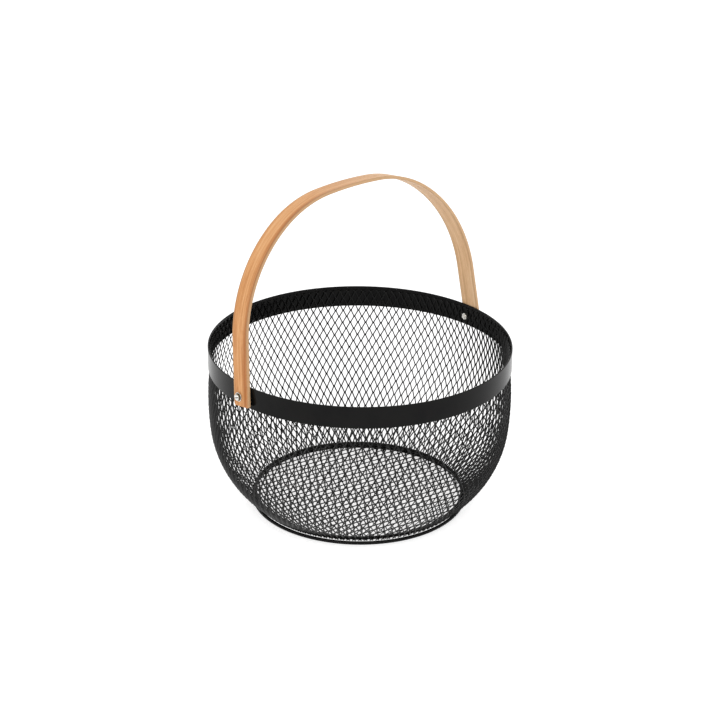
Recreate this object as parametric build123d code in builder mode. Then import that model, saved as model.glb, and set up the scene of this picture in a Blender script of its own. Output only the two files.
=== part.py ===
from build123d import *
from math import cos, hypot, radians, sin, sqrt, tan
import os

# Round produce basket: an expanded-metal bowl between a flat rim band and two wire rings,
# with a bentwood handle that swings on two screws through the band.
# Millimetres. +Z is up, X runs along the handle's pivot axis, and the origin is on the
# ground at the centre of the foot ring.

# Rim band, a flat steel strip
rim_radius = 130.0
rim_height = 145.0
band_width = 19.0
band_thickness = 1.2
band_edge_rounding = 0.35

# Expanded metal, as thick overall as its turned strands stand
mesh_thickness = 1.0
mesh_edge_below_rim = 1.5

# Wall profile, from under the band down to the rings. Headings are from straight down,
# and positive ones lean towards the axis.
tuck_clearance = 0.1
flare_radius = 12.0
flare_turn = 6.9
belly_radius = 250.5
belly_turn = 12.73
heel_radius = 93.9
heel_turn = 39.45
lip_end_height = 1.9

# The two rings that clamp the lower edge of the wall, bent from round wire
wire_radius = 1.5
foot_flat = 0.1
base_ring_height = 5.35
weld_gap = 0.02

# Base disc, expanded metal with openings in staggered rows. The angle is from X to the
# openings' long axis.
opening_pitch_across = 7.45
opening_pitch_along = 12.7
opening_share = 0.8
solid_margin = 2.0
base_mesh_angle = 21.9

# Handle, a strip of wood bent to an arch. Its radii are those of the strip's middle. Its legs
# splay outwards below the rim, and its pivot holes are off the strip's centreline.
handle_width = 18.5
handle_thickness = 2.6
handle_clearance = 0.25
handle_edge_rounding = 0.5
handle_end_rounding = 2.0
hole_off_centre = 2.7
leg_splay = 5.0
leg_below_pivot = 8.1
leg_above_pivot = 45.8
haunch_radius = 115.7
haunch_turn = 50.7
shoulder_radius = 103.7
shoulder_turn = 30.0
handle_lean = 7.7

# Pivot fasteners: pan-head machine screw, flat washer and hexagon nut at each end
pivot_height = 135.0
screw_radius = 1.5
screw_hole_radius = 1.6
handle_hole_radius = 1.55
head_radius = 2.9
head_height = 2.4
head_dome = 1.5
slot_width = 0.8
slot_depth = 1.1
slot_angle = 20.0
washer_radius = 3.9
washer_thickness = 0.6
washer_edge_rounding = 0.2
nut_across_flats = 5.5
nut_thickness = 2.4
nut_bore_radius = 1.52
screw_end_past_nut = 0.8
face_gap = 0.05

band_inner_radius = rim_radius - band_thickness
band_bottom = rim_height - band_width
wall_radius_in_band = band_inner_radius - tuck_clearance - mesh_thickness / 2
pivot_plane = Plane(origin=(0, 0, pivot_height), x_dir=(0, 1, 0), z_dir=(1, 0, 0))


def finish(piece, name):
    """Label a finished piece and write it to its own file."""
    piece.part.label = name
    export_step(piece.part, f"parts/{name}.step")


os.makedirs("parts", exist_ok=True)

# Rim band, with a hole for each pivot screw
with BuildPart() as rim_band:
    with BuildSketch(Plane.XZ):
        with Locations((band_inner_radius, band_bottom)):
            Rectangle(band_thickness, band_width, align=(Align.MIN, Align.MIN))
    revolve(axis=Axis.Z)
    fillet(rim_band.edges(), band_edge_rounding)
    with BuildSketch(pivot_plane):
        Circle(screw_hole_radius)
    extrude(amount=rim_radius, both=True, mode=Mode.SUBTRACT)
finish(rim_band, "rim_band")

# Wall of the bowl: the envelope of the expanded metal, open at the top. It hangs inside
# the band, swells just below it and turns in under the bowl to a lip between the rings.
with BuildPart() as wall_mesh:
    with BuildSketch(Plane.XZ):
        with BuildLine():
            tuck = Line(
                (wall_radius_in_band, rim_height - mesh_edge_below_rim),
                (wall_radius_in_band, band_bottom + flare_radius * sin(radians(flare_turn))),
            )
            flare = JernArc(tuck @ 1, tuck % 1, flare_radius, flare_turn)
            belly = JernArc(flare @ 1, flare % 1, belly_radius, -belly_turn)
            heel = JernArc(belly @ 1, belly % 1, heel_radius, -heel_turn)
            lip_heading = radians(belly_turn + heel_turn - flare_turn)
            lip_drop = (heel @ 1).Y - lip_end_height
            lip_end_radius = (heel @ 1).X - lip_drop * sin(lip_heading) / cos(lip_heading)
            Line(heel @ 1, (lip_end_radius, lip_end_height))
        trace(line_width=mesh_thickness)
    revolve(axis=Axis.Z)
    with BuildSketch(pivot_plane):
        Circle(screw_hole_radius)
    extrude(amount=rim_radius, both=True, mode=Mode.SUBTRACT)
finish(wall_mesh, "wall_mesh")


def lip_radius(height):
    """Radius of the middle of the lip at a height above the ground."""
    return lip_end_radius + (height - lip_end_height) * sin(lip_heading) / cos(lip_heading)


# A ring's centre stands this far from the middle of the lip, square to it.
ring_stand_off = wire_radius + mesh_thickness / 2 + weld_gap
foot_ring_height = wire_radius - foot_flat
foot_contact_height = foot_ring_height + ring_stand_off * sin(lip_heading)
foot_ring_radius = lip_radius(foot_contact_height) + ring_stand_off * cos(lip_heading)
base_contact_height = base_ring_height - ring_stand_off * sin(lip_heading)
base_ring_radius = lip_radius(base_contact_height) - ring_stand_off * cos(lip_heading)

# Foot ring, under the lip, with a narrow flat where it stands
with BuildPart() as foot_ring:
    with BuildSketch(Plane.XZ):
        with Locations((foot_ring_radius, foot_ring_height)):
            Circle(wire_radius)
    revolve(axis=Axis.Z)
    split(bisect_by=Plane.XY, keep=Keep.TOP)
finish(foot_ring, "foot_ring")

# Base ring, inside the bowl, on the edge of the base disc
with BuildPart() as base_ring:
    with BuildSketch(Plane.XZ):
        with Locations((base_ring_radius, base_ring_height)):
            Circle(wire_radius)
    revolve(axis=Axis.Z)
finish(base_ring, "base_ring")

# Base disc, under the base ring, with its edge against the lip
base_mesh_top = base_ring_height - wire_radius - weld_gap
base_mesh_bottom = base_mesh_top - mesh_thickness
lip_half_thickness_level = mesh_thickness / 2 / cos(lip_heading)
base_mesh_radius = lip_radius(base_mesh_bottom) - lip_half_thickness_level - weld_gap
opening_across = opening_pitch_across * opening_share
opening_along = opening_pitch_along * opening_share
open_radius = base_mesh_radius - solid_margin - opening_along / 2
columns = int(base_mesh_radius / opening_pitch_along) + 1
rows = 2 * int(base_mesh_radius / opening_pitch_across) + 2
opening_centres = []
for row in range(-rows, rows + 1):
    for column in range(-columns, columns + 1):
        along = (column + 0.5 * (row % 2)) * opening_pitch_along
        across = row * opening_pitch_across / 2
        if hypot(along, across) < open_radius:
            opening_centres.append((along, across))

with BuildPart() as base_mesh:
    with BuildSketch(Plane.XY.offset(base_mesh_bottom).rotated((0, 0, base_mesh_angle))):
        Circle(base_mesh_radius)
        with Locations(*opening_centres):
            Polygon(
                (opening_along / 2, 0),
                (0, opening_across / 2),
                (-opening_along / 2, 0),
                (0, -opening_across / 2),
                mode=Mode.SUBTRACT,
            )
    extrude(amount=mesh_thickness)
finish(base_mesh, "base_mesh")

# Handle. Each leg is straight and passes close to the band's top edge. The haunch and the
# shoulder turn it over to a nearly flat crown. At rest the handle leans a little towards +Y.
lean = radians(handle_lean)
leg_slope = tan(radians(leg_splay))
strip_half_thickness_level = handle_thickness / 2 / cos(radians(leg_splay))
strip_inner_face = rim_radius + handle_clearance + (rim_height - pivot_height) * leg_slope
strip_middle = strip_inner_face + strip_half_thickness_level
strip_outer_face = strip_middle + strip_half_thickness_level
handle_plane = Plane(
    origin=(0, 0, pivot_height), x_dir=(1, 0, 0), z_dir=(0, -cos(lean), sin(lean))
)
with BuildPart() as handle:
    with BuildSketch(handle_plane.offset(hole_off_centre)):
        with BuildLine():
            leg = Line(
                (strip_middle + leg_below_pivot * leg_slope, -leg_below_pivot),
                (strip_middle - leg_above_pivot * leg_slope, leg_above_pivot),
            )
            haunch = JernArc(leg @ 1, leg % 1, haunch_radius, haunch_turn)
            shoulder = JernArc(haunch @ 1, haunch % 1, shoulder_radius, shoulder_turn)
            shoulder_heading = leg_splay + haunch_turn + shoulder_turn
            crown_radius = (shoulder @ 1).X / cos(radians(shoulder_heading))
            JernArc(shoulder @ 1, shoulder % 1, crown_radius, 90 - shoulder_heading)
            mirror(about=Plane.YZ)
        trace(line_width=handle_thickness)
    extrude(amount=handle_width / 2, both=True)
    end_faces = handle.faces().sort_by(Axis.Z)[:2]
    fillet(end_faces.edges().group_by(SortBy.LENGTH)[0], handle_end_rounding)
    side_faces = handle.faces().filter_by(Axis((0, 0, 0), handle_plane.z_dir))
    fillet(side_faces.edges(), handle_edge_rounding)
    with BuildSketch(pivot_plane):
        Circle(handle_hole_radius)
    extrude(amount=rim_radius + 2 * handle_thickness, both=True, mode=Mode.SUBTRACT)
finish(handle, "handle")

# The washer clears the splayed strip all the way round as the handle swings.
washer_seat = strip_outer_face + washer_radius * leg_slope + face_gap
head_seat = washer_seat + washer_thickness + face_gap
nut_corner_radius = nut_across_flats / sqrt(3)
# The nut's flat face stands clear of the bowl's round wall at its corners.
wall_inner_radius = wall_radius_in_band - mesh_thickness / 2
nut_seat = sqrt(wall_inner_radius**2 - nut_corner_radius**2) - face_gap
shank_length = head_seat - nut_seat + nut_thickness + screw_end_past_nut

for side, sign in (("left", -1), ("right", 1)):
    outwards = (sign, 0, 0)

    with BuildPart() as washer:
        with BuildSketch(Plane((sign * washer_seat, 0, pivot_height), z_dir=outwards)):
            Circle(washer_radius)
            Circle(screw_hole_radius, mode=Mode.SUBTRACT)
        extrude(amount=washer_thickness)
        rim = washer.edges().filter_by(GeomType.CIRCLE).sort_by(SortBy.RADIUS)[-2:]
        fillet(rim, washer_edge_rounding)
    finish(washer, f"washer_{side}")

    head_plane = Plane((sign * head_seat, 0, pivot_height), x_dir=(0, sign, 0), z_dir=outwards)
    with BuildPart() as screw:
        with BuildSketch(head_plane):
            Circle(head_radius)
        extrude(amount=head_height)
        crown_edge = screw.edges().sort_by(Axis((0, 0, 0), outwards))[-1]
        fillet(crown_edge, head_dome)
        with BuildSketch(head_plane.offset(head_height - slot_depth)):
            Rectangle(3 * head_radius, slot_width, rotation=slot_angle)
        extrude(amount=2 * slot_depth, mode=Mode.SUBTRACT)
        with BuildSketch(head_plane):
            Circle(screw_radius)
        extrude(amount=-shank_length)
    finish(screw, f"pivot_screw_{side}")

    inwards = (-sign, 0, 0)
    with BuildPart() as nut:
        with BuildSketch(Plane((sign * nut_seat, 0, pivot_height), z_dir=inwards)):
            RegularPolygon(nut_across_flats / 2, 6, major_radius=False)
            Circle(nut_bore_radius, mode=Mode.SUBTRACT)
        extrude(amount=nut_thickness)
    finish(nut, f"nut_{side}")
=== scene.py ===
import math
from collections import namedtuple

import bmesh
import bpy
import numpy as np
from mathutils import Matrix, Vector
from mathutils.bvhtree import BVHTree


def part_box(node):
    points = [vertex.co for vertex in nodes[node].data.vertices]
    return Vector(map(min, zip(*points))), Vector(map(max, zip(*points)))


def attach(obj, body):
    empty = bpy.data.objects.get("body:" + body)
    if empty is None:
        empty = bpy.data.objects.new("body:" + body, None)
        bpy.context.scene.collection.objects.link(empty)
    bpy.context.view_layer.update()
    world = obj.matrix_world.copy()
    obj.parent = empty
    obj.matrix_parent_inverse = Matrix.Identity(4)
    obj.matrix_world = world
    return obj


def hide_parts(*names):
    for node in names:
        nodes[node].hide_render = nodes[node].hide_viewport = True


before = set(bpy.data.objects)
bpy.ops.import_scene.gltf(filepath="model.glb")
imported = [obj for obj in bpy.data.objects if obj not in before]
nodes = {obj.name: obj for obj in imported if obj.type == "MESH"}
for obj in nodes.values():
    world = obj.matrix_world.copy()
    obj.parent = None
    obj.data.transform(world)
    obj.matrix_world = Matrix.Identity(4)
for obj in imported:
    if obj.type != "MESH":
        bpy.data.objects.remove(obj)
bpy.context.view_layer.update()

# Looks for the wire basket: expanded-metal wall and base, satin black powder coat, a
# bentwood handle and bright pivot screws. Metres and radians, in the row frame.

# Camera: where it stands round the basket, and how it is held
CAMERA_AZIMUTH = math.radians(-42.5)
CAMERA_DISTANCE = 1.698
CAMERA_HEIGHT = 0.8803
CAMERA_PITCH = math.radians(23.87)
CAMERA_ROLL = math.radians(0.59)
CAMERA_LENS_MM = 108.4
SENSOR_MM = 36.0

# Studio: a white world, a key light on the camera's side and a weaker one overhead
WORLD_STRENGTH = 1.0
LIGHT_AIM = (0, 0, 0.1)
KEY_PLACE = (-1.05, -1.15, 1.25)
KEY_SIZE = (2.6, 1.1)
KEY_POWER = 10
TOP_PLACE = (0, 0, 1.6)
TOP_SIZE = (1.2, 1.2)
TOP_POWER = 2

# Meshes: the distance at which points are merged, and the bend above which an edge is crisp
MERGE_DISTANCE = 1e-7
SHARP_ANGLE = math.radians(32)

# Expanded metal: strands turned about the openings' long axis, and the length of their bonds
Stock = namedtuple("Stock", "width thickness turn")
WALL_STOCK = Stock(0.00104, 0.00066, math.radians(-26))
BASE_STOCK = Stock(0.00116, 0.00090, math.radians(-21))
BOND_LENGTH = 0.0008

# Wall: openings round the bowl, rows of bonds from the top edge to the lip, radians of drift
# per metre of wall, and how far the strands' middle lies inside the middle of the CAD shell
WALL_OPENINGS = 116
WALL_BOND_ROWS = 25
WALL_DRIFT = 0.21
WALL_INSET = 0.00036

# Wall profile: where round the bowl it is read, in how many steps, how close to the two
# edges, and how many of the last steps give its slope at the lip
PROFILE_ANGLE = 1.0
PROFILE_STEPS = 160
PROFILE_END = 0.0006
LIP_STEPS = 3

# Base disc: pitch of its openings, and the angle of their long axis from X
BASE_PITCH_ACROSS = 0.00745
BASE_PITCH_ALONG = 0.0127
BASE_ANGLE = math.radians(21.9)

# Noise textures. The scale is in waves per metre. The wood's textures have three scales, for
# the directions along the strip, across it and into it.
Noise = namedtuple("Noise", "scale detail roughness distortion", defaults=(0.0,))
COAT_TONE = Noise(60.0, 4.0, 0.6)
COAT_SHEEN = Noise(35.0, 5.0, 0.65)
COAT_PEEL = Noise(1500.0, 2.0, 0.5)
WOOD_DRIFT = Noise((4, 70, 40), 2.0, 0.5)
WOOD_STREAKS = Noise((5, 520, 160), 4.0, 0.65, 0.2)
WOOD_FIBRES = Noise((40, 2400, 1400), 3.0, 0.65)
WOOD_PORES = Noise((130, 4200, 3000), 2.0, 0.5)
STRIPE_BENDS = Noise((9, 0, 0), 2.0, 0.5)
STRIPE_BREAKS = Noise((6, 1100, 60), 3.0, 0.6)
METAL_TONE = Noise(400.0, 3.0, 0.6)
METAL_MARKS = Noise(6000.0, 2.0, 0.5)
FLOOR_TONE = Noise(3.0, 2.0, 0.5)

# Noise values at which tones are darkest and lightest
TONE_LOW = 0.3
TONE_HIGH = 0.7

# Powder coats, the tints of their dark and light patches, and their orange peel
Coat = namedtuple("Coat", "shade roughness gloss")
MESH_COAT = Coat(0.0035, 0.28, 0.19)
BAND_COAT = Coat(0.004, 0.18, 0.10)
COAT_DARK_TINT = (0.7, 0.7, 0.72)
COAT_LIGHT_TINT = (1.35, 1.28, 1.2)
COAT_SHEEN_SPREAD = 0.16
PEEL_STRENGTH = 0.2
PEEL_DEPTH = 0.0001

# Handle at rest: its pivot, its lean towards +Y, and the strip's shift across from its pivot
# holes. Its grain is laid out round a circle close to the arch.
PIVOT_HEIGHT = 0.135
HANDLE_LEAN = math.radians(7.7)
STRIP_SHIFT = 0.0027
ARCH_CENTRE_ABOVE_PIVOT = 0.015
ARCH_RADIUS = 0.135

# Wood: shares of the textures in its tone, and its colours from dark to light fibres. The
# handle pales from its left leg to its right leg.
DRIFT_SHARE = 0.25
STREAKS_SHARE = 0.50
FIBRES_SHARE = 0.25
WARM_WOOD = [
    (0.41, (0.40, 0.150, 0.040)),
    (0.47, (0.51, 0.228, 0.080)),
    (0.53, (0.59, 0.285, 0.110)),
    (0.59, (0.67, 0.370, 0.170)),
]
PALE_WOOD = [
    (0.41, (0.54, 0.320, 0.160)),
    (0.47, (0.63, 0.395, 0.215)),
    (0.53, (0.69, 0.445, 0.250)),
    (0.59, (0.75, 0.520, 0.320)),
]
PALE_FROM = -0.07
PALE_TO = 0.09

# Red-brown stripe: its place across the strip low on the leg and over the arch, the heights
# above the pivot between which it moves, its half width and how far it wanders, the X between
# which it fades in, and the noise levels between which it is broken up
STRIPE_COLOUR = (0.33, 0.105, 0.018)
STRIPE_PLACE_LOW = -0.0056
STRIPE_PLACE_HIGH = -0.0084
STRIPE_RISE = (0.02, 0.07)
STRIPE_HALF_WIDTH = 0.0046
STRIPE_WANDER = 0.0024
STRIPE_FADE = (0.03, -0.08)
STRIPE_BREAK_LEVELS = (0.20, 0.55)

# Painted shade on the margins of the strip's faces, and on the strip's sawn sides, found by
# their normals
EDGE_SHADE_COLOUR = (0.36, 0.215, 0.110)
EDGE_SHADE_PLACE = (0.0072, 0.0088)
EDGE_SHADE_SHARE = 0.6
SIDE_SHADE_COLOUR = (0.52, 0.330, 0.180)
SIDE_SHADE_FACING = (0.75, 0.95)
SIDE_SHADE_SHARE = 0.7

# Pores, satin finish and relief of the wood
PORE_COLOUR = (0.26, 0.105, 0.03)
PORE_LEVELS = (0.62, 0.72)
PORE_SHARE = 0.4
PORE_RELIEF = 0.8
WOOD_ROUGHNESS = 0.36
WOOD_ROUGHNESS_SPREAD = 0.22
WOOD_GLOSS = 0.22
WOOD_RELIEF_STRENGTH = 0.25
WOOD_RELIEF_DEPTH = 0.00012

# Fasteners: bright metal, with a painted dark reflection from the screw head's edge to the
# washer's rim
BRIGHT_METAL = [(TONE_LOW, (0.62, 0.60, 0.56)), (TONE_HIGH, (0.82, 0.80, 0.76))]
WASHER_REFLECTION_METAL = [(TONE_LOW, (0.13, 0.12, 0.08)), (TONE_HIGH, (0.24, 0.22, 0.16))]
METAL_ROUGHNESS = [(TONE_LOW, (0.16, 0.16, 0.16)), (TONE_HIGH, (0.30, 0.30, 0.30))]
SCREW_HEAD = 0.0029
SCREW_HEAD_FADE = 0.0004
WASHER_RIM = 0.0037
WASHER_RIM_FADE = 0.0005
MARKS_STRENGTH = 0.10
MARKS_DEPTH = 0.0001

# Painted shade in the screw's slot: how far below the head's top it begins and is full, and how
# far from the axis it begins and is full
SLOT_SHADE_COLOUR = (0.012, 0.010, 0.008)
SLOT_SHADE_TOP = 0.0002
SLOT_SHADE_FULL = 0.0006
SLOT_SHADE_OUTER = 0.0024
SLOT_SHADE_INNER = 0.0018

# Floor: a pale sheet that glows a little, so that it renders as white as the world
FLOOR_HALF_WIDTH = 8.0
FLOOR_COLOURS = [(TONE_LOW, (0.60, 0.60, 0.60)), (TONE_HIGH, (0.62, 0.62, 0.62))]
FLOOR_ROUGHNESS = 0.9
FLOOR_GLOSS = 0.1
FLOOR_GLOW = 0.6


def mesh_object(name, points, faces, material, body):
    """A mesh piece that rides on a body, with doubled points merged and its edges kept crisp."""
    mesh = bpy.data.meshes.new(name)
    mesh.from_pydata(points, [], faces)
    work = bmesh.new()
    work.from_mesh(mesh)
    bmesh.ops.remove_doubles(work, verts=work.verts, dist=MERGE_DISTANCE)
    bmesh.ops.recalc_face_normals(work, faces=work.faces)
    work.to_mesh(mesh)
    work.free()
    mesh.shade_smooth()
    mesh.set_sharp_from_angle(angle=SHARP_ANGLE)
    mesh.materials.append(material)
    piece = bpy.data.objects.new(name, mesh)
    bpy.context.scene.collection.objects.link(piece)
    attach(piece, body)
    return piece


# ---------------------------------------------------------------- expanded metal


def section(stock, centre, width_axis, thickness_axis):
    """The four corners of a strand's cross-section."""
    half_width = stock.width / 2 * width_axis
    half_thickness = stock.thickness / 2 * thickness_axis
    return [
        centre - half_width - half_thickness,
        centre + half_width - half_thickness,
        centre + half_width + half_thickness,
        centre - half_width + half_thickness,
    ]


def turned_axes(stock, across, normal):
    """Width and thickness axes of a strand, turned from the sheet about its long axis."""
    cos_turn = math.cos(stock.turn)
    sin_turn = math.sin(stock.turn)
    return cos_turn * across + sin_turn * normal, cos_turn * normal - sin_turn * across


class Strands:
    """Collects the strands of one sheet as points and faces."""

    def __init__(self):
        self.points = []
        self.faces = []

    def add(self, sections, bonded_side):
        """One run of a strand. bonded_side has, for each stretch between two sections, the
        side that is fused to the next strand (0 right, 1 left), or None."""
        first = len(self.points)
        for corners in sections:
            self.points.extend(corners)
        self.faces.append([first + 3, first + 2, first + 1, first])
        for i, side in enumerate(bonded_side):
            low = first + 4 * i
            for corner in range(4):
                if (side, corner) in ((0, 1), (1, 3)):
                    continue
                after = (corner + 1) % 4
                self.faces.append([low + corner, low + after, low + after + 4, low + corner + 4])
        last = first + 4 * (len(sections) - 1)
        self.faces.append([last, last + 1, last + 2, last + 3])


# What a sheet is made of and where: place(column, along) gives a point of it with its across
# and normal axes, kept(column, along) says if a bond there is inside the sheet, and
# cut(inside, outside) the share of the way to the next bond where the sheet ends.
Sheet = namedtuple("Sheet", "stock row_length place kept cut")


def bond(sheet, strand, row):
    """A strand's two sections at its bond in a row, whether the bond is inside the sheet, and
    the strand's bonded side."""
    right = (strand + row) % 2
    column = (strand + right) / 2
    middle = row * sheet.row_length
    sections = []
    for end in (-0.5, 0.5):
        point, across, normal = sheet.place(column, middle + end * BOND_LENGTH)
        width_axis, thickness_axis = turned_axes(sheet.stock, across, normal)
        centre = point + (-0.5 if right else 0.5) * sheet.stock.width * width_axis
        sections.append(section(sheet.stock, centre, width_axis, thickness_axis))
    return sections, sheet.kept(column, middle), 0 if right else 1


def cut_section(sheet, inside, outside):
    """The section where a strand that runs on to outside is cut by the sheet's edge."""
    share = sheet.cut(sum(inside) / 4, sum(outside) / 4)
    return [a + share * (b - a) for a, b in zip(inside, outside)]


def strand_runs(sheet, strand, rows):
    """The runs of one strand that lie inside the sheet, each with its bonded sides."""
    runs = []
    run = []
    sides = []
    before = None
    for row in rows:
        ends, inside, side = bond(sheet, strand, row)
        if inside:
            if run:
                sides.append(None)
            elif before:
                run = [cut_section(sheet, ends[0], before[1])]
                sides = [None]
            run.extend(ends)
            sides.append(side)
        elif run:
            run.append(cut_section(sheet, run[-1], ends[0]))
            sides.append(None)
            runs.append((run, sides))
            run = []
        before = ends
    return runs


def expanded_metal(sheet, strand_range, rows):
    """Zigzag strands side by side, each fused by turns to its left and right neighbour."""
    strands = Strands()
    for strand in strand_range:
        for run, sides in strand_runs(sheet, strand, rows):
            strands.add(run, sides)
    return strands


def middle_radii(node, heights, far):
    """Radius of the middle of a revolved shell at some heights, by rays from its axis and from
    a point that is this far out."""
    solid = BVHTree.FromObject(nodes[node], bpy.context.evaluated_depsgraph_get())
    outwards = Vector((math.cos(PROFILE_ANGLE), math.sin(PROFILE_ANGLE), 0))
    radii = []
    for height in heights:
        inner = solid.ray_cast(Vector((0, 0, height)), outwards)[3]
        outer = far - solid.ray_cast(Vector((0, 0, height)) + far * outwards, -outwards)[3]
        radii.append((inner + outer) / 2)
    return np.array(radii)


def middle_profile(node, steps):
    """Radius, height and distance travelled along the middle of a revolved shell, from its top
    edge down, evenly spaced."""
    low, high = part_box(node)
    heights = np.linspace(high.z - PROFILE_END, low.z + PROFILE_END, steps)
    radii = middle_radii(node, heights, 2 * high.x)
    # Carry the profile on to the two edges: straight up, and in line with its end at the lip.
    last = -1 - LIP_STEPS
    lip_slope = (radii[-1] - radii[last]) / (heights[-1] - heights[last])
    heights = np.concatenate(([high.z], heights, [low.z]))
    radii = np.concatenate(([radii[0]], radii, [radii[-1] - lip_slope * PROFILE_END]))
    travelled = np.concatenate(([0], np.cumsum(np.hypot(np.diff(radii), np.diff(heights)))))
    even = np.linspace(0, travelled[-1], steps)
    return np.interp(even, travelled, radii), np.interp(even, travelled, heights), even


def wall_place(profile, row_length):
    """The place function of the wall, with its first bond half a row below the top edge."""
    radii, heights, travelled = profile
    radius_slopes = np.gradient(radii, travelled)
    height_slopes = np.gradient(heights, travelled)

    def place(column, along):
        position = along + row_length / 2
        radius = np.interp(position, travelled, radii)
        height = np.interp(position, travelled, heights)
        radius_slope = np.interp(position, travelled, radius_slopes)
        height_slope = np.interp(position, travelled, height_slopes)
        angle = 2 * math.pi * (column % WALL_OPENINGS) / WALL_OPENINGS + WALL_DRIFT * position
        radial = np.array((math.cos(angle), math.sin(angle), 0))
        across = np.array((-math.sin(angle), math.cos(angle), 0))
        normal = -height_slope * radial + np.array((0, 0, radius_slope))
        normal /= np.linalg.norm(normal)
        return radius * radial + np.array((0, 0, height)) - WALL_INSET * normal, across, normal

    return place


def build_wall(material):
    """The bowl's wall, from its top edge inside the band to the lip between the rings."""
    profile = middle_profile("wall_mesh", PROFILE_STEPS)
    length = profile[2][-1]
    row_length = length / WALL_BOND_ROWS
    sheet = Sheet(
        WALL_STOCK,
        row_length,
        wall_place(profile, row_length),
        lambda column, along: 0 <= along + row_length / 2 <= length,
        lambda inside, outside: 0.5,
    )
    strands = expanded_metal(sheet, range(2 * WALL_OPENINGS), range(-1, WALL_BOND_ROWS + 1))
    wall = mesh_object("wall_expanded", strands.points, strands.faces, material, "basket")
    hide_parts("wall_mesh")


def base_place(level):
    """The place function of the flat base disc at this height."""
    long_axis = np.array((math.cos(BASE_ANGLE), math.sin(BASE_ANGLE), 0))
    across = np.array((-math.sin(BASE_ANGLE), math.cos(BASE_ANGLE), 0))
    up = np.array((0, 0, 1.0))

    def place(column, along):
        point = along * long_axis + (column + 0.5) * BASE_PITCH_ACROSS * across + level * up
        return point, across, up

    return place


def circle_cut(radius):
    """The cut function of a disc: the share of the way out at which its circle is crossed."""

    def cut(inside, outside):
        a, b = inside[:2], outside[:2] - inside[:2]
        half = np.dot(a, b)
        square = np.dot(b, b)
        root = math.sqrt(max(0, half * half - square * (np.dot(a, a) - radius * radius)))
        return min(1, (root - half) / square)

    return cut


def build_base(material):
    """The base disc, flat, cut to a circle."""
    low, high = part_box("base_mesh")
    radius = high.x
    place = base_place((low.z + high.z) / 2)
    row_length = BASE_PITCH_ALONG / 2
    sheet = Sheet(
        BASE_STOCK,
        row_length,
        place,
        lambda column, along: np.linalg.norm(place(column, along)[0][:2]) < radius - BOND_LENGTH,
        circle_cut(radius),
    )
    columns = int(2 * radius / BASE_PITCH_ACROSS) + 2
    rows = int(radius / row_length) + 2
    strands = expanded_metal(sheet, range(-columns, columns + 1), range(-rows, rows + 1))
    base = mesh_object("base_expanded", strands.points, strands.faces, material, "basket")
    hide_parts("base_mesh")


# -------------------------------------------------------------------- materials


class Look:
    """A material, with its node tree written line by line."""

    def __init__(self, name):
        self.material = bpy.data.materials.new(name)
        self.material.use_nodes = True
        self.tree = self.material.node_tree
        self.shader = self.tree.nodes["Principled BSDF"]

    def plug(self, socket, value):
        """Links a socket to a value's socket, or gives it a plain value."""
        if isinstance(value, bpy.types.NodeSocket):
            self.tree.links.new(value, socket)
        else:
            socket.default_value = value

    def add(self, kind, inputs=(), **settings):
        node = self.tree.nodes.new(kind)
        for key, value in settings.items():
            setattr(node, key, value)
        for key, value in dict(inputs).items():
            self.plug(node.inputs[key], value)
        return node

    def set(self, name, value):
        self.plug(self.shader.inputs[name], value)

    def place(self):
        """Where a point is on the piece at rest."""
        return self.add("ShaderNodeTexCoord").outputs["Object"]

    def parts(self, vector):
        return self.add("ShaderNodeSeparateXYZ", {0: vector}).outputs

    def vector(self, x=0.0, y=0.0, z=0.0):
        return self.add("ShaderNodeCombineXYZ", {0: x, 1: y, 2: z}).outputs[0]

    def length(self, vector):
        return self.add("ShaderNodeVectorMath", {0: vector}, operation="LENGTH").outputs["Value"]

    def math(self, operation, a, b=0.0):
        return self.add("ShaderNodeMath", {0: a, 1: b}, operation=operation).outputs[0]

    def scaled(self, value, factor, offset=0.0):
        inputs = {0: value, 1: factor, 2: offset}
        return self.add("ShaderNodeMath", inputs, operation="MULTIPLY_ADD").outputs[0]

    def smooth(self, value, low, high):
        """0 where the value is at low and 1 where it is at high, eased between them."""
        inputs = {"Value": value, "From Min": low, "From Max": high}
        node = self.add("ShaderNodeMapRange", inputs, interpolation_type="SMOOTHSTEP")
        return node.outputs["Result"]

    def ramp(self, value, stops):
        node = self.add("ShaderNodeValToRGB", {"Fac": value})
        elements = node.color_ramp.elements
        while len(elements) < len(stops):
            elements.new(0.5)
        for element, (position, colour) in zip(elements, stops):
            element.position = position
            element.color = (*colour, 1)
        return node.outputs["Color"]

    def mix(self, factor, a, b):
        return self.add("ShaderNodeMix", {0: factor, 6: a, 7: b}, data_type="RGBA").outputs[2]

    def tinted(self, factor, colour, tint):
        """A colour socket with a share of a plain colour mixed in."""
        return self.mix(factor, colour, (*tint, 1))

    def noise(self, vector, texture):
        """A noise texture. Three scales stretch it, each along its own axis."""
        scale = texture.scale
        if isinstance(scale, tuple):
            vector = self.add("ShaderNodeMapping", {"Vector": vector, "Scale": scale}).outputs[0]
            scale = 1.0
        inputs = {
            "Vector": vector,
            "Scale": scale,
            "Detail": texture.detail,
            "Roughness": texture.roughness,
            "Distortion": texture.distortion,
        }
        return self.add("ShaderNodeTexNoise", inputs).outputs["Fac"]

    def bump(self, height, strength, distance):
        inputs = {"Height": height, "Strength": strength, "Distance": distance}
        self.set("Normal", self.add("ShaderNodeBump", inputs).outputs["Normal"])


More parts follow.
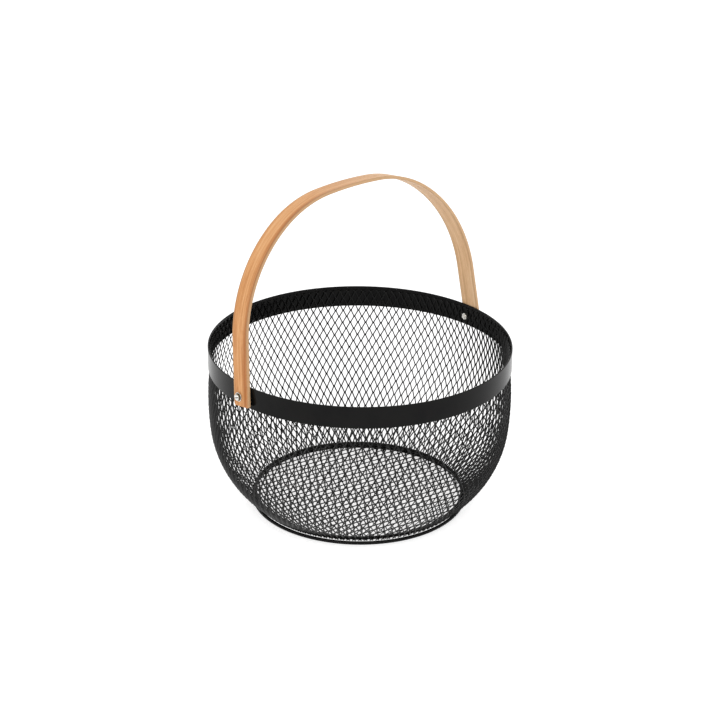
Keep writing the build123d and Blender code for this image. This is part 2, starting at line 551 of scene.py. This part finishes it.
def powder_coat(name, coat):
    """Satin black powder coat: fine orange peel over faint changes of tone and sheen."""
    look = Look(name)
    place = look.place()
    dark = [coat.shade * part for part in COAT_DARK_TINT]
    light = [coat.shade * part for part in COAT_LIGHT_TINT]
    tone = look.noise(place, COAT_TONE)
    look.set("Base Color", look.ramp(tone, [(TONE_LOW, dark), (TONE_HIGH, light)]))
    sheen = look.noise(place, COAT_SHEEN)
    smoothest = coat.roughness - COAT_SHEEN_SPREAD / 2
    look.set("Roughness", look.scaled(sheen, COAT_SHEEN_SPREAD, smoothest))
    look.set("Specular IOR Level", coat.gloss)
    look.bump(look.noise(place, COAT_PEEL), PEEL_STRENGTH, PEEL_DEPTH)
    return look.material


def strip_position(look):
    """X and height from the pivot with the handle upright, the place across the strip, and the
    grain's coordinates: along, across and into the strip."""
    inputs = {"Vector": look.place(), "Location": (0, 0, -PIVOT_HEIGHT)}
    from_pivot = look.add("ShaderNodeMapping", inputs).outputs[0]
    inputs = {"Vector": from_pivot, "Angle": HANDLE_LEAN}
    upright = look.add("ShaderNodeVectorRotate", inputs, rotation_type="X_AXIS").outputs[0]
    parts = look.parts(upright)
    across = look.math("ADD", parts["Y"], STRIP_SHIFT)
    height = look.math("SUBTRACT", parts["Z"], ARCH_CENTRE_ABOVE_PIVOT)
    along = look.math("MULTIPLY", look.math("ARCTAN2", parts["X"], height), ARCH_RADIUS)
    depth = look.length(look.vector(x=parts["X"], z=height))
    return parts["X"], parts["Z"], across, look.vector(along, across, depth)


def stripe_mask(look, x, height, across, grain):
    """Where the red-brown stripe runs: near the front edge, a little broken, up the left leg
    and fading out over the arch."""
    risen = look.scaled(
        look.smooth(height, *STRIPE_RISE),
        STRIPE_PLACE_HIGH - STRIPE_PLACE_LOW,
        STRIPE_PLACE_LOW - STRIPE_WANDER / 2,
    )
    bends = look.scaled(look.noise(grain, STRIPE_BENDS), STRIPE_WANDER)
    centre = look.math("ADD", bends, risen)
    off = look.math("ABSOLUTE", look.math("SUBTRACT", across, centre))
    stripe = look.smooth(off, STRIPE_HALF_WIDTH, 0.0)
    stripe = look.math("MULTIPLY", stripe, look.smooth(x, *STRIPE_FADE))
    broken = look.smooth(look.noise(grain, STRIPE_BREAKS), *STRIPE_BREAK_LEVELS)
    return look.math("MULTIPLY", stripe, broken)


def wood_colour(look, x, fibres, grain):
    """Streaks and fibres, warm at the left leg and pale at the right."""
    drift = look.scaled(look.noise(grain, WOOD_DRIFT), DRIFT_SHARE)
    streaks = look.scaled(look.noise(grain, WOOD_STREAKS), STREAKS_SHARE)
    tone = look.math("ADD", drift, streaks)
    tone = look.math("ADD", tone, look.scaled(fibres, FIBRES_SHARE))
    warm = look.ramp(tone, WARM_WOOD)
    pale = look.ramp(tone, PALE_WOOD)
    return look.mix(look.smooth(x, PALE_FROM, PALE_TO), warm, pale)


def side_shade_mask(look):
    """Where the strip's surface faces along Y, on its sawn sides, which get painted shade."""
    normal = look.add("ShaderNodeTexCoord").outputs["Normal"]
    facing = look.math("ABSOLUTE", look.parts(normal)["Y"])
    return look.smooth(facing, *SIDE_SHADE_FACING)


def bentwood():
    """Bent hardwood strip under a satin finish. Streaks, fibres and pores follow the arch, and
    one red-brown stripe runs along it near the front edge."""
    look = Look("bentwood")
    x, height, across, grain = strip_position(look)
    fibres = look.noise(grain, WOOD_FIBRES)
    pores = look.smooth(look.noise(grain, WOOD_PORES), *PORE_LEVELS)
    edge_shade = look.smooth(look.math("ABSOLUTE", across), *EDGE_SHADE_PLACE)

    colour = wood_colour(look, x, fibres, grain)
    colour = look.tinted(stripe_mask(look, x, height, across, grain), colour, STRIPE_COLOUR)
    # Painted shade darkens the margins of the faces, where the edges round over
    colour = look.tinted(look.scaled(edge_shade, EDGE_SHADE_SHARE), colour, EDGE_SHADE_COLOUR)
    # Painted shade darkens the sawn sides
    colour = look.tinted(look.scaled(side_shade_mask(look), SIDE_SHADE_SHARE), colour, SIDE_SHADE_COLOUR)
    colour = look.tinted(look.scaled(pores, PORE_SHARE), colour, PORE_COLOUR)

    look.set("Base Color", colour)
    look.set("Roughness", look.scaled(fibres, WOOD_ROUGHNESS_SPREAD, WOOD_ROUGHNESS))
    look.set("Specular IOR Level", WOOD_GLOSS)
    relief = look.math("SUBTRACT", fibres, look.scaled(pores, PORE_RELIEF))
    look.bump(relief, WOOD_RELIEF_STRENGTH, WOOD_RELIEF_DEPTH)
    return look.material


def bright_metal():
    """Nickel-plated steel with fine turning marks, with a painted dark reflection on the
    washers' outer faces and painted shade in the screws' slots."""
    look = Look("bright_metal")
    place = look.place()
    parts = look.parts(place)
    height = look.math("SUBTRACT", parts["Z"], PIVOT_HEIGHT)
    radius = look.length(look.vector(y=parts["Y"], z=height))
    out = look.math("ABSOLUTE", parts["X"])
    outside = look.smooth(out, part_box("rim_band")[1].x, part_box("washer_right")[0].x)

    # Painted reflection: the washer's face between the head's edge and its rim is coloured dark
    # olive, as a reflection of the wood and of shade
    in_rim = look.smooth(radius, WASHER_RIM, WASHER_RIM - WASHER_RIM_FADE)
    past_head = look.smooth(radius, SCREW_HEAD - SCREW_HEAD_FADE, SCREW_HEAD)
    washer_reflection_mask = look.math("MULTIPLY", look.math("MULTIPLY", outside, in_rim), past_head)
    tone = look.noise(place, METAL_TONE)
    bright = look.ramp(tone, BRIGHT_METAL)
    washer_reflection = look.ramp(tone, WASHER_REFLECTION_METAL)
    colour = look.mix(washer_reflection_mask, bright, washer_reflection)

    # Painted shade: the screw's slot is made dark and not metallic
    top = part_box("pivot_screw_right")[1].x
    below_top = look.smooth(out, top - SLOT_SHADE_TOP, top - SLOT_SHADE_FULL)
    near_axis = look.smooth(radius, SLOT_SHADE_OUTER, SLOT_SHADE_INNER)
    slot_shade = look.math("MULTIPLY", look.math("MULTIPLY", below_top, near_axis), outside)
    look.set("Base Color", look.tinted(slot_shade, colour, SLOT_SHADE_COLOUR))
    look.set("Metallic", look.scaled(slot_shade, -1.0, 1.0))
    look.set("Roughness", look.ramp(tone, METAL_ROUGHNESS))
    look.bump(look.noise(look.vector(x=radius), METAL_MARKS), MARKS_STRENGTH, MARKS_DEPTH)
    return look.material


def paint(node, material):
    """Gives a CAD node's object this material in every slot."""
    mesh = nodes[node].data
    if not mesh.materials:
        mesh.materials.append(material)
    for slot in nodes[node].material_slots:
        slot.material = material


# ------------------------------------------------------------------------ stage


def build_floor():
    look = Look("floor")
    look.set("Base Color", look.ramp(look.noise(look.place(), FLOOR_TONE), FLOOR_COLOURS))
    look.set("Roughness", FLOOR_ROUGHNESS)
    look.set("Specular IOR Level", FLOOR_GLOSS)
    look.set("Emission Color", (1, 1, 1, 1))
    look.set("Emission Strength", FLOOR_GLOW)
    half = FLOOR_HALF_WIDTH
    corners = [(-half, -half, 0), (half, -half, 0), (half, half, 0), (-half, half, 0)]
    mesh = bpy.data.meshes.new("floor")
    mesh.from_pydata(corners, [], [(0, 1, 2, 3)])
    mesh.materials.append(look.material)
    floor = bpy.data.objects.new("floor", mesh)
    bpy.context.scene.collection.objects.link(floor)


def soft_light(name, place, size, power):
    """A rectangular light, not seen by the camera, that points at the basket."""
    data = bpy.data.lights.new(name, "AREA")
    data.shape = "RECTANGLE"
    data.size, data.size_y = size
    data.energy = power
    lamp = bpy.data.objects.new(name, data)
    lamp.location = place
    lamp.rotation_mode = "QUATERNION"
    lamp.rotation_quaternion = (Vector(LIGHT_AIM) - Vector(place)).to_track_quat("-Z", "Y")
    lamp.visible_camera = False
    bpy.context.scene.collection.objects.link(lamp)


def build_light():
    world = bpy.data.worlds.new("studio")
    bpy.context.scene.world = world
    world.use_nodes = True
    background = world.node_tree.nodes["Background"]
    background.inputs["Color"].default_value = (1, 1, 1, 1)
    background.inputs["Strength"].default_value = WORLD_STRENGTH
    soft_light("key_light", KEY_PLACE, KEY_SIZE, KEY_POWER)
    soft_light("top_light", TOP_PLACE, TOP_SIZE, TOP_POWER)
    bpy.context.scene.view_settings.view_transform = "Standard"


def build_camera():
    data = bpy.data.cameras.new("camera")
    data.lens = CAMERA_LENS_MM
    data.sensor_width = SENSOR_MM
    camera = bpy.data.objects.new("camera", data)
    bpy.context.scene.collection.objects.link(camera)
    place = Matrix.Translation(
        (
            math.sin(CAMERA_AZIMUTH) * CAMERA_DISTANCE,
            -math.cos(CAMERA_AZIMUTH) * CAMERA_DISTANCE,
            CAMERA_HEIGHT,
        )
    )
    heading = Matrix.Rotation(CAMERA_AZIMUTH, 4, "Z")
    tilt = Matrix.Rotation(math.pi / 2 - CAMERA_PITCH, 4, "X")
    roll = Matrix.Rotation(CAMERA_ROLL, 4, "Z")
    camera.matrix_world = place @ heading @ tilt @ roll
    bpy.context.scene.camera = camera


build_camera()
build_light()
build_floor()
mesh_coat = powder_coat("mesh_coat", MESH_COAT)
band_coat = powder_coat("band_coat", BAND_COAT)
build_wall(mesh_coat)
build_base(mesh_coat)
for name in ("rim_band", "foot_ring", "base_ring"):
    paint(name, band_coat)
paint("handle", bentwood())
metal = bright_metal()
for side in ("left", "right"):
    for kind in ("pivot_screw", "washer", "nut"):
        paint(f"{kind}_{side}", metal)
